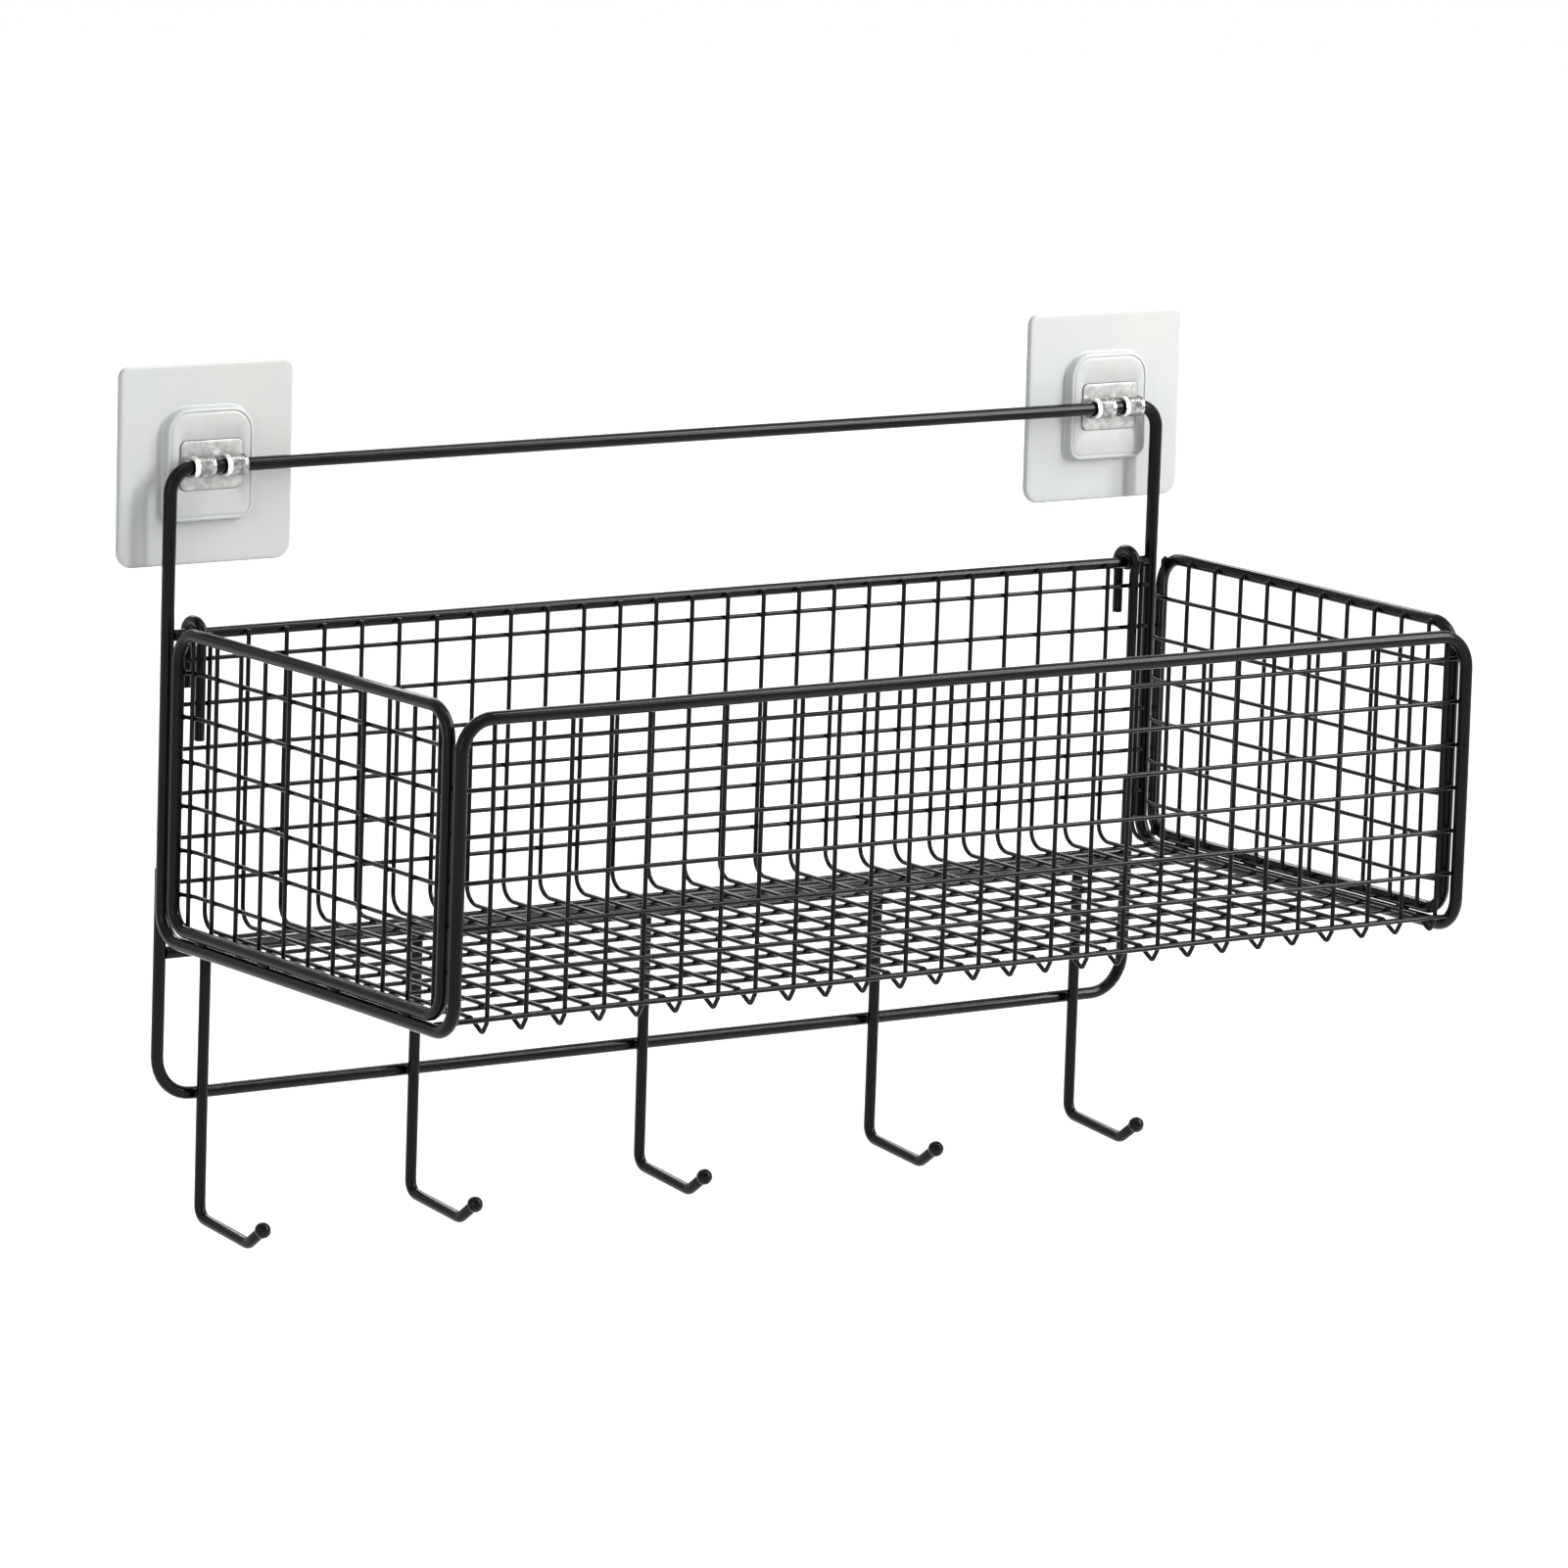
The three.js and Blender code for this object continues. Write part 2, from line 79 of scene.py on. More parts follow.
# How the mesh's wires stray, as (amount, pace, start); the uprights start from their side, -1 or 1
CROSS_SWAY, LINE_SWAY, UPRIGHT_SWAY = (0.16, 2.4, 0.7), (0.14, 1.9, 0.4), (0.15, 2.1)
TIP_SHOULDER = 1.7  # bend where a drooping tip leaves the front and joins the floor
LINE_FOOT, LINE_BEND, LINE_NEAR = 0.6, 6, 0.1  # an end mesh's line wire bends out to the frame
GRIP_ARCH, ARCH_SHARE, GRIP_SHOULDER = 5.2, 0.84, 4  # the grip's bend bulges a little past its legs
ARCH_START, ARCH_TURN, ARCH_STEPS = -18, 216, 20  # start and turn in degrees
SMOOTH_ANGLE, CLIP_ANGLE = 42, 35  # edges that turn more than this stay sharp, in degrees

# Wall mounts: rounded outlines with an upper and a lower corner radius, drawn in by an edge's insets
PAD_CORNERS, BOSS_CORNERS, LEAST_CORNER, CORNER_STEPS = (3.5, 5.5), (8.5, 5), 0.2, 8
BOSS_GROOVE = 0.32  # the shallow line moulded round the boss's face
BED_ROOM, BED_UNDER = 0.2, 0.06  # the boss's bed for the plate is this much larger and deeper
PLATE_BACK = BOSS_FACE - PLATE_THICK / 2
PLATE_FRONT = PLATE_BACK + PLATE_THICK
BED_FLOOR = PLATE_BACK - BED_UNDER
STEM_BACK, STEM_FRONT = PLATE_FRONT - 0.2, RAIL_OUT - 0.4  # a finger's stem leads from plate to rail
STEM_CORNER, STEM_STEPS = 0.3, 4

# Edges of the wall mounts as (inset, distance from the wall)
ADHESIVE_EDGE = ((0.35, 0), (0.15, 0.12), (0.15, 0.34), (0.35, ADHESIVE - 0.05))
PAD_EDGE = (
    (0.2, ADHESIVE), (0.0, ADHESIVE + 0.2), (0.0, PAD_FACE - 0.75), (0.12, PAD_FACE - 0.35),
    (0.45, PAD_FACE - 0.08), (0.95, PAD_FACE), (2.2, PAD_FACE),
)
BOSS_EDGE = (  # flared foot, flank, rim, groove and soft face
    (-0.6, PAD_FACE - 0.05), (-0.2, PAD_FACE + 0.12), (0.0, PAD_FACE + 0.5),
    (0.3, BOSS_FACE - 0.8), (0.45, BOSS_FACE - 0.35), (0.7, BOSS_FACE - 0.08), (0.95, BOSS_FACE),
    (1.2, BOSS_FACE), (1.5, BOSS_FACE - BOSS_GROOVE), (1.75, BOSS_FACE - BOSS_GROOVE),
    (2.1, BOSS_FACE - 0.04), (2.5, BOSS_FACE - 0.02), (3.2, BOSS_FACE),
)
FLANK_STEPS = 8  # steps of the boss's edge from its foot into the groove
BED_EDGE = ((-0.15, BOSS_FACE), (-0.03, BOSS_FACE - 0.08), (0.0, BED_FLOOR + 0.05), (0.25, BED_FLOOR))
PLATE_EDGE = (
    (0.15, PLATE_BACK), (0.0, PLATE_BACK + 0.15), (0.0, PLATE_FRONT - 0.3),
    (0.1, PLATE_FRONT - 0.08), (0.4, PLATE_FRONT), (1.2, PLATE_FRONT),
)

# A finger's outline along the rail: distance from its near end, and height over the barrel
COLLAR = ((0, -0.2), (0.2, 0.05), (0.45, 0.12), (1.5, 0.12), (1.75, 0), (1.95, -0.25))
RIDGE = ((0, -0.06), (0.35, -0.02), (0.62, -0.24))
RIDGE_START, RIDGE_PITCH, RIDGE_STOP = 2.3, 0.95, 1.3
LIP = ((0.9, -0.25), (0.7, 0), (0.2, 0), (0, -0.3))  # distance from the far end
BORE_EDGE, BORE_ROUND = 0.1, 0.15
HIGHLIGHT_COLLAR = 1.8  # the collar, painted bright as a highlight, ends here
FINGER_STEPS, SLOT_PLACE, SLOT_WIDTH = 44, 45, 26  # the slot's place and width in degrees

# Welds as half sizes along x, y and z, and how far they sit in, out of or under the wires they join
RIM_WELD, SIDE_WELD, FLOOR_END_WELD = (0.95, 0.7, 1.2), (0.9, 0.9, 0.95), (0.9, 0.95, 0.9)
SEAM_WELD, SEAM_SHARES = (1.3, 3.4, 1.1), (-0.84, -0.6, -0.36, -0.14)
RIM_END_WELD, BACK_RIM_WELD = (0.9, 1.75, 1.75), (0.95, 0.9, 1.1)
LOOP_WELD, LOOP_WELD_DROPS = (1.35, 1.35, 2.6), (3.5, 10.5)
BAR_END_WELD, HOOK_WELD = (0.9, 2.1, 2.1), (1.5, 0.8, 1.5)
WALL_CROSS_WELD, FLOOR_CROSS_WELD = (1.0, 0.72, 1.0), (1.0, 1.0, 0.72)
UPRIGHT_WELD, END_LINE_WELD, END_CROSS_WELD = (0.75, 1.0, 1.15), (0.75, 1.1, 1.0), (0.72, 1.0, 1.0)
GRIP_MESH_WELD, GRIP_RIM_WELD = (1.3, 0.7, 1.1), (1.35, GRIP_ARCH - 1.2, 3.2)
GRIP_WELDS = 2  # a grip is welded to this many line wires of the back, from the top
END_IN, RIM_OUT, RIM_UNDER, BACK_OUT, FLOOR_UNDER = 0.2, 0.1, 0.4, 0.4, 0.3
BACK_RIM_OUT, BACK_RIM_UNDER, BAR_IN = 0.35, 0.3, 0.15
END_FRAME_IN, UPRIGHT_END_IN, END_LINE_IN = 0.1, 0.3, 0.2
GRIP_MESH_OUT, GRIP_RIM_OUT, GRIP_RIM_UP = 0.85, 0.1, 0.5
LUMP, LUMP_SCALE = 0.07, 3

end_x = LENGTH / 2
front_y = -DEPTH
rim_z = -RIM_DROP
bottom_z = rim_z - HEIGHT
floor_z = bottom_z + FLOOR_RISE
mesh_flat = MESH_WIRE / 2 * math.cos(math.pi / 6)
layer = 2 * mesh_flat + MESH_LIFT
skin = FRAME_WIRE / 2 + WELD_GAP + mesh_flat
front_mesh_y, back_mesh_y = front_y + skin, -skin
mesh_top_z = rim_z + MESH_WIRE / 2
line_end_x = end_x - FRAME_WIRE / 2 - WELD_GAP
end_low_z = bottom_z + FRAME_WIRE / 2 + WELD_GAP + END_WIRE / 2
end_front_y, end_back_y, end_top_z = front_y + END_INSET, -END_INSET, rim_z + END_RISE
back_bar_z = bottom_z - BACK_BAR_UNDER
hook_bar_z = back_bar_z - HOOK_BAR_UNDER
loop_x = end_x - LOOP_INSET
loop_y = FRAME_WIRE / 2 + WELD_GAP + BAR_WIRE / 2
hook_y = loop_y - (BAR_WIRE / 2 + WELD_GAP + HOOK_WIRE / 2)
grip_bend = skin - layer + mesh_flat + WELD_GAP + GRIP_WIRE / 2
mount_x = end_x - MOUNT_INSET
bore = FRAME_WIRE / 2 + TURN_GAP


def wires_in(room):
    return 1 + math.floor(room / MESH_PITCH)


cross_count = wires_in(LENGTH - FIRST_CROSS - CROSS_ROOM)
front_count = wires_in(HEIGHT - FIRST_DROP - FRONT_ROOM)
back_count = wires_in(HEIGHT - FIRST_DROP - BACK_ROOM)
floor_count = wires_in(back_mesh_y - front_mesh_y - FIRST_FLOOR - FLOOR_ROOM)
upright_count = wires_in(DEPTH - 2 * END_INSET - FIRST_UPRIGHT - UPRIGHT_ROOM)
end_line_count = wires_in(rim_z - end_low_z - FIRST_END_LINE - END_LINE_ROOM)

# The rack leans about its rail until the lower loop all but rests on the wall
swing = math.hypot(loop_y, hook_bar_z)
lean = math.asin((RAIL_OUT - BAR_WIRE / 2 - WELD_GAP) / swing) - math.atan2(loop_y, -hook_bar_z)
RACK = Matrix.Scale(MILLIMETRE, 4) @ Matrix.Translation((0, -RAIL_OUT, 0)) @ Matrix.Rotation(lean, 4, "X")


def cross_x(i):
    return -end_x + FIRST_CROSS + i * MESH_PITCH


def line_z(k):
    return rim_z - FIRST_DROP - k * MESH_PITCH


def floor_line_y(k):
    return front_mesh_y + FIRST_FLOOR + k * MESH_PITCH


def front_reach(z):
    """How far a line wire of the front runs at this height, inside the rim's rounded corner."""
    short = max(RIM_CORNER - (rim_z - z) + MESH_WIRE, 0)
    return line_end_x - (RIM_CORNER - math.sqrt(RIM_CORNER ** 2 - short ** 2))


def swayed(number, amount, pace, start):
    """Wires laid by hand stray a little, each in its own way."""
    return amount * math.sin(pace * number + start)


# Centre lines of wires
def arc(corner, before, after, radius, steps):
    back = (before - corner).normalized()
    ahead = (after - corner).normalized()
    opening = back.angle(ahead)
    start = corner + back * (radius / math.tan(opening / 2))
    centre = corner + (back + ahead).normalized() * (radius / math.sin(opening / 2))
    axis = ahead.cross(back).normalized()
    turn = math.pi - opening
    spoke = start - centre
    return [centre + Quaternion(axis, turn * s / steps) @ spoke for s in range(steps + 1)]


def centre_line(corners, closed=False, steps=HEAVY_STEPS):
    """Corners are (x, y, z, radius)."""
    spots = [Vector(c[:3]) for c in corners]
    line = []
    for i, spot in enumerate(spots):
        radius = corners[i][3]
        if not radius or (not closed and i in (0, len(spots) - 1)):
            line.append(spot)
        else:
            line += arc(spot, spots[i - 1], spots[(i + 1) % len(spots)], radius, steps)
    return line


def stepped(line, closed):
    """The same line with long straight stretches cut into shorter ones."""
    out = []
    count = len(line)
    for i in range(count if closed else count - 1):
        a, b = line[i], line[(i + 1) % count]
        parts = max(1, round((b - a).length / STRETCH))
        out += [a.lerp(b, s / parts) for s in range(parts)]
    if not closed:
        out.append(line[-1])
    return out


def headings(line, closed):
    count = len(line)
    out = []
    for i in range(count):
        ahead = (line[(i + 1) % count] - line[i]).normalized()
        behind = (line[i] - line[i - 1]).normalized()
        if not closed and i == 0:
            out.append(ahead)
        elif not closed and i == count - 1:
            out.append(behind)
        else:
            out.append((ahead + behind).normalized())
    return out


def drift(p):
    """Wires of a welded rack wander a little together; the rail stays straight in its clips."""
    fade = min(max((-p.z - DRIFT_START) / DRIFT_FADE, 0), 1)
    return noise.noise_vector(p / DRIFT_LENGTH) * (DRIFT * fade)


noise.seed_set(DRIFT_SEED)


# Wires and welds
def ring(bm, centre, side, along, radius, sides):
    other = along.cross(side)
    spots = []
    for s in range(sides):
        angle = 2 * math.pi * s / sides
        spots.append(bm.verts.new(centre + (side * math.cos(angle) + other * math.sin(angle)) * radius))
    return spots


def skin_rings(bm, rings, closed):
    """Faces from ring to ring, with the two ends capped, or joined with the least twist."""
    sides = len(rings[0])
    faces = []
    for a, b in zip(rings, rings[1:]):
        for s in range(sides):
            n = (s + 1) % sides
            faces.append(bm.faces.new((a[s], a[n], b[n], b[s])))
    if closed:
        a, b = rings[-1], rings[0]
        misses = [
            sum((b[s].co - a[(s + k) % sides].co).length_squared for s in range(sides))
            for k in range(sides)
        ]
        twist = misses.index(min(misses))
        for s in range(sides):
            n = (s + 1) % sides
            faces.append(bm.faces.new((a[(s + twist) % sides], a[(n + twist) % sides], b[n], b[s])))
    else:
        faces.append(bm.faces.new(list(reversed(rings[0]))))
        faces.append(bm.faces.new(rings[-1]))
    return faces


def wire(bm, line, diameter, sides=HEAVY_SIDES, closed=False, side=(1, 0, 0), cut=HEAVY_CUT):
    """A round wire; an open one ends in a slightly rounded cut, made of rings as (depth, radius)."""
    nearly_along = 0.9
    line = stepped(line, closed)
    radius = diameter / 2
    cut_end = [(0, radius - cut), (cut * CUT_SHARE, radius - cut * CUT_SHARE), (cut, radius)]
    along = headings(line, closed)
    side = Vector(side)
    if abs(side.dot(along[0])) > nearly_along:
        side = Vector((0, 1, 0))
    side = (side - along[0] * side.dot(along[0])).normalized()
    rings = []
    before = along[0]
    for i, spot in enumerate(line):
        side = before.rotation_difference(along[i]) @ side
        side = (side - along[i] * side.dot(along[i])).normalized()
        before = along[i]
        if not closed and i == 0:
            for deep, wide in cut_end:
                rings.append(ring(bm, spot + along[i] * deep, side, along[i], wide, sides))
        elif not closed and i == len(line) - 1:
            for deep, wide in reversed(cut_end):
                rings.append(ring(bm, spot - along[i] * deep, side, along[i], wide, sides))
        else:
            rings.append(ring(bm, spot, side, along[i], radius, sides))
    skin_rings(bm, rings, closed)


def mesh_wire(bm, line, side=(1, 0, 0)):
    wire(bm, line, MESH_WIRE, sides=MESH_SIDES, side=side, cut=MESH_CUT)


def bead(bm, centre, radii, rows=5, columns=10):
    """A weld: a flattened drop that bridges two wires."""
    centre = Vector(centre)
    rx, ry, rz = radii
    top = bm.verts.new(centre + Vector((0, 0, rz)))
    low = bm.verts.new(centre - Vector((0, 0, rz)))
    rings = []
    for r in range(1, rows):
        polar = math.pi * r / rows
        spots = []
        for c in range(columns):
            angle = 2 * math.pi * c / columns
            lump = 1 + LUMP * noise.noise(centre * LUMP_SCALE + Vector((c, r, 0)))
            spots.append(bm.verts.new(centre + Vector((
                rx * lump * math.sin(polar) * math.cos(angle),
                ry * lump * math.sin(polar) * math.sin(angle),
                rz * math.cos(polar),
            ))))
        rings.append(spots)
    for a, b in zip(rings, rings[1:]):
        for c in range(columns):
            n = (c + 1) % columns
            bm.faces.new((a[c], b[c], b[n], a[n]))
    for c in range(columns):
        n = (c + 1) % columns
        bm.faces.new((top, rings[0][c], rings[0][n]))
        bm.faces.new((low, rings[-1][n], rings[-1][c]))


def small_bead(bm, centre, radii):
    bead(bm, centre, radii, rows=4, columns=8)


# Pieces
def piece(name, bm, materials, body, nodes, place, smooth_angle=SMOOTH_ANGLE):
    bmesh.ops.transform(bm, matrix=place, verts=bm.verts)
    bmesh.ops.recalc_face_normals(bm, faces=bm.faces)
    mesh = bpy.data.meshes.new(name)
    bm.to_mesh(mesh)
    bm.free()
    for face in mesh.polygons:
        face.use_smooth = True
    mesh.set_sharp_from_angle(angle=math.radians(smooth_angle))
    for one in materials:
        mesh.materials.append(one)
    made = bpy.data.objects.new(name, mesh)
    bpy.context.scene.collection.objects.link(made)
    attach(made, body)
    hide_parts(*nodes)
    return made


def rack_piece(name, bm, *nodes):
    for vert in bm.verts:
        vert.co += drift(vert.co)
    return piece(name, bm, (black,), "rack", nodes, RACK)


def mount_piece(name, bm, materials, node, place, smooth_angle=SMOOTH_ANGLE):
    return piece(name, bm, materials, "wall_mounts", [node], place, smooth_angle)


# Materials
def new_material(name):
    material = bpy.data.materials.new(name)
    material.use_nodes = True
    nodes = material.node_tree.nodes
    return material, nodes, material.node_tree.links, nodes["Principled BSDF"]


def noise_node(nodes, links, scale, detail, stretch=(1, 1, 1), roughness=0.5):
    where = nodes.new("ShaderNodeTexCoord")
    mapping = nodes.new("ShaderNodeMapping")
    mapping.inputs["Scale"].default_value = stretch
    texture = nodes.new("ShaderNodeTexNoise")
    texture.inputs["Scale"].default_value = scale
    texture.inputs["Detail"].default_value = detail
    texture.inputs["Roughness"].default_value = roughness
    links.new(where.outputs["Object"], mapping.inputs["Vector"])
    links.new(mapping.outputs["Vector"], texture.inputs["Vector"])
    return texture.outputs["Fac"]


def ramp_node(nodes, links, value, stops):
    """Stops are (place, colour)."""
    ramp = nodes.new("ShaderNodeValToRGB")
    while len(ramp.color_ramp.elements) < len(stops):
        ramp.color_ramp.elements.new(0.5)
    for element, (at, colour) in zip(ramp.color_ramp.elements, stops):
        element.position = at
        element.color = (*colour, 1)
    links.new(value, ramp.inputs["Fac"])
    return ramp.outputs["Color"]


def map_range(nodes, links, value, start, stop, low, high, smooth=False):
    span = nodes.new("ShaderNodeMapRange")
    if smooth:
        span.interpolation_type = "SMOOTHSTEP"
    for name, amount in (("From Min", start), ("From Max", stop), ("To Min", low), ("To Max", high)):
        span.inputs[name].default_value = amount
    links.new(value, span.inputs["Value"])
    return span.outputs["Result"]


def spread(nodes, links, texture, low, high):
    """From low to high over the range that a noise texture mostly keeps to."""
    return map_range(nodes, links, texture, start=0.3, stop=0.7, low=low, high=high)


def bump_node(nodes, links, height, strength, distance, below=None):
    bump = nodes.new("ShaderNodeBump")
    bump.inputs["Strength"].default_value = strength
    bump.inputs["Distance"].default_value = distance
    links.new(height, bump.inputs["Height"])
    if below is not None:
        links.new(below, bump.inputs["Normal"])
    return bump.outputs["Normal"]


def math_node(nodes, links, operation, first, second):
    node = nodes.new("ShaderNodeMath")
    node.operation = operation
    links.new(first, node.inputs[0])
    links.new(second, node.inputs[1])
    return node.outputs[0]


def mixed(nodes, links, factor, low, high, blend):
    """Two colours mixed; factor and high may be plain values."""
    mix = nodes.new("ShaderNodeMix")
    mix.data_type = "RGBA"
    mix.blend_type = blend
    blend_by, first, second = mix.inputs[0], mix.inputs[6], mix.inputs[7]
    links.new(low, first)
    for value, socket in ((factor, blend_by), (high, second)):
        if isinstance(value, float):
            socket.default_value = value
        elif isinstance(value, tuple):
            socket.default_value = (*value, 1)
        else:
            links.new(value, socket)
    return mix.outputs[2]


def powder_coat():
    """Satin black powder coat with a fine orange peel and a few dull, dusty patches."""
    clean, dusty = (0.0014, 0.0014, 0.0014), (0.0034, 0.0033, 0.0032)
    material, nodes, links, shader = new_material("black_powder_coat")
    peel = noise_node(nodes, links, scale=1400, detail=2)
    patches = noise_node(nodes, links, scale=55, detail=4)
    grain = noise_node(nodes, links, scale=4200, detail=2)
    colour = ramp_node(nodes, links, patches, [(0.35, clean), (0.68, dusty)])
    links.new(colour, shader.inputs["Base Color"])
    links.new(spread(nodes, links, patches, low=0.17, high=0.23), shader.inputs["Roughness"])
    fine = bump_node(nodes, links, grain, strength=0.08, distance=0.00003)
    peeled = bump_node(nodes, links, peel, strength=0.12, distance=0.00005, below=fine)
    links.new(peeled, shader.inputs["Normal"])
    shader.inputs["Specular IOR Level"].default_value = 0.13
    return material


def frosted_plastic(name, edge, mottle):
    """Clear moulded plastic with a soft satin face; what turns away from the front has the edge's colour, a
    painted shade for the dark line that a clear edge shows by refraction.
    """
    cool, plain, warm = (0.61, 0.645, 0.65), (0.64, 0.66, 0.648), (0.67, 0.67, 0.64)
    mottle_tint = (1 - mottle, 1 - mottle, 1 - 1.2 * mottle)
    material, nodes, links, shader = new_material(name)
    clouds = noise_node(nodes, links, scale=16, detail=2)
    ripple = noise_node(nodes, links, scale=60, detail=1, stretch=(1, 1, 0.5))
    fine = noise_node(nodes, links, scale=900, detail=2)
    # Darker, warmer spots from this noise are a painted mottled reflection, set strongest on the boss.
    mottle_noise = noise_node(nodes, links, scale=240, detail=3)
    face = ramp_node(nodes, links, clouds, [(0.2, cool), (0.5, plain), (0.8, warm)])
    spots = ramp_node(nodes, links, mottle_noise, [(0.3, mottle_tint), (0.7, (1, 1, 1))])
    spotted = mixed(nodes, links, 1.0, face, spots, "MULTIPLY")
    where = nodes.new("ShaderNodeTexCoord")
    split = nodes.new("ShaderNodeSeparateXYZ")
    links.new(where.outputs["Normal"], split.inputs["Vector"])
    # Faces turned away from the front fade to the edge colour: painted shade along every bevel, side and
    # groove.
    turned = map_range(nodes, links, split.outputs["Y"], start=-0.96, stop=-0.35, low=0, high=1, smooth=True)
    links.new(mixed(nodes, links, turned, spotted, edge, "MIX"), shader.inputs["Base Color"])
    links.new(spread(nodes, links, ripple, low=0.3, high=0.42), shader.inputs["Roughness"])
    links.new(bump_node(nodes, links, fine, strength=0.08, distance=0.00005), shader.inputs["Normal"])
    shader.inputs["IOR"].default_value = 1.49
    shader.inputs["Transmission Weight"].default_value = 0.15
    return material


def adhesive_film():
    """The gel sheet that holds the pad: milky patches where it clings, and trapped air bubbles."""
    thin, plain, milky = (0.57, 0.59, 0.59), (0.63, 0.645, 0.64), (0.69, 0.70, 0.68)
    air = (0.82, 0.84, 0.83)
    material, nodes, links, shader = new_material("adhesive_film")
    texture = noise_node(nodes, links, scale=650, detail=3)
    patches = noise_node(nodes, links, scale=90, detail=4)
    gel = ramp_node(nodes, links, patches, [(0.38, thin), (0.5, plain), (0.62, milky)])
    where = nodes.new("ShaderNodeTexCoord")
    cells = nodes.new("ShaderNodeTexVoronoi")
    cells.inputs["Scale"].default_value = 170
    links.new(where.outputs["Object"], cells.inputs["Vector"])
    bubble = map_range(
        nodes, links, cells.outputs["Distance"], start=0.1, stop=0.17, low=1, high=0, smooth=True
    )
    links.new(mixed(nodes, links, bubble, gel, air, "MIX"), shader.inputs["Base Color"])
    links.new(spread(nodes, links, texture, low=0.45, high=0.65), shader.inputs["Roughness"])
    fine = bump_node(nodes, links, texture, strength=0.2, distance=0.0001)
    dented = bump_node(nodes, links, bubble, strength=0.3, distance=0.0002, below=fine)
    links.new(dented, shader.inputs["Normal"])
    shader.inputs["Transmission Weight"].default_value = 0.25
    return material


def clip_metal(name, dark, middle, light, rough):
    """Formed steel: rolled grain along the rail, with slight scuffs."""
    material, nodes, links, shader = new_material(name)
    grain = noise_node(nodes, links, scale=900, detail=4, stretch=(0.25, 1, 1))
    scuffs = noise_node(nodes, links, scale=420, detail=5, roughness=0.62)
    colour = ramp_node(nodes, links, scuffs, [(0.34, dark), (0.5, middle), (0.66, light)])
    links.new(colour, shader.inputs["Base Color"])
    links.new(spread(nodes, links, grain, low=rough, high=rough + 0.16), shader.inputs["Roughness"])
    links.new(bump_node(nodes, links, grain, strength=0.35, distance=0.00008), shader.inputs["Normal"])
    shader.inputs["Metallic"].default_value = 1.0
    return material


black = powder_coat()
# The edge colours are painted shade for the dark refraction lines at the plastic's edges; the boss's is the
# darker one.
clear = frosted_plastic("clear_pad_plastic", edge=(0.55, 0.575, 0.565), mottle=0.01)
# Its larger mottle paints the boss's mottled reflections.
boss_clear = frosted_plastic("clear_boss_plastic", edge=(0.30, 0.33, 0.32), mottle=0.06)
film = adhesive_film()
# A brighter, glossier copy of the clip's steel for the collars: a painted highlight at each finger's end.
collar_highlight = clip_metal(
    "bright_clip_steel",
    dark=(0.62, 0.61, 0.60), middle=(0.80, 0.80, 0.79), light=(0.92, 0.92, 0.92), rough=0.14,
)
worn = clip_metal(
    "grained_clip_steel",
    dark=(0.15, 0.148, 0.142), middle=(0.33, 0.325, 0.315), light=(0.60, 0.60, 0.59), rough=0.2,
)
satin = clip_metal(
    "satin_clip_steel",
    dark=(0.27, 0.28, 0.27), middle=(0.36, 0.365, 0.355), light=(0.45, 0.455, 0.44), rough=0.42,
)


# The main frame and what is welded to it
def main_frame():
    bm = bmesh.new()
    line = centre_line(
        [
            (-end_x, 0, 0, RAIL_CORNER),
            (end_x, 0, 0, RAIL_CORNER),
            (end_x, 0, bottom_z, BOTTOM_CORNER),
            (end_x, front_y, bottom_z, BOTTOM_CORNER),
            (end_x, front_y, rim_z, RIM_CORNER),
            (-end_x, front_y, rim_z, RIM_CORNER),
            (-end_x, front_y, bottom_z, BOTTOM_CORNER),
            (-end_x, 0, bottom_z, BOTTOM_CORNER),
        ],
        closed=True,
    )
    wire(bm, line, FRAME_WIRE, closed=True, side=(0, 1, 0))
    for i in range(cross_count):
        bead(bm, (cross_x(i), front_y + FRAME_WIRE / 2 + RIM_OUT, rim_z - RIM_UNDER), RIM_WELD)
    for side in (-1, 1):
        side_x = side * (line_end_x + END_IN)
        for k in range(front_count):
            z = line_z(k)
            bead(bm, (side * (front_reach(z) + END_IN), front_mesh_y - layer, z), SIDE_WELD)
        for k in range(back_count):
            bead(bm, (side_x, back_mesh_y + layer + BACK_OUT, line_z(k)), SIDE_WELD)
        for k in range(floor_count):
            bead(bm, (side_x, floor_line_y(k), floor_z - layer - FLOOR_UNDER), FLOOR_END_WELD)
        for share in SEAM_SHARES:
            bead(bm, (side * end_x, share * DEPTH, (end_low_z + bottom_z) / 2), SEAM_WELD)
    return rack_piece("main_frame_wire", bm, "main_frame")


def back_rim():
    bm = bmesh.new()
    reach = line_end_x + BACK_RIM_OVER
    wire(bm, [Vector((-reach, 0, rim_z)), Vector((reach, 0, rim_z))], BACK_RIM_WIRE)
    for side in (-1, 1):
        bead(bm, (side * (line_end_x + END_IN), 0, rim_z), RIM_END_WELD)
    for i in range(cross_count):
        bead(bm, (cross_x(i), -BACK_RIM_WIRE / 2 - BACK_RIM_OUT, rim_z - BACK_RIM_UNDER), BACK_RIM_WELD)
    return rack_piece("back_rim_wire", bm, "back_rim")


def lower_loop():
    bm = bmesh.new()
    top = bottom_z + BOTTOM_CORNER + LOOP_OVERLAP
    line = centre_line([
        (-loop_x, loop_y, top, 0),
        (-loop_x, loop_y, hook_bar_z, LOOP_CORNER),
        (loop_x, loop_y, hook_bar_z, LOOP_CORNER),
        (loop_x, loop_y, top, 0),
    ])
    wire(bm, line, BAR_WIRE)
    for side in (-1, 1):
        for drop in LOOP_WELD_DROPS:
            bead(bm, (side * (loop_x + end_x) / 2, loop_y / 2, top - drop), LOOP_WELD)
    return rack_piece("lower_loop_wire", bm, "lower_hook_bar")


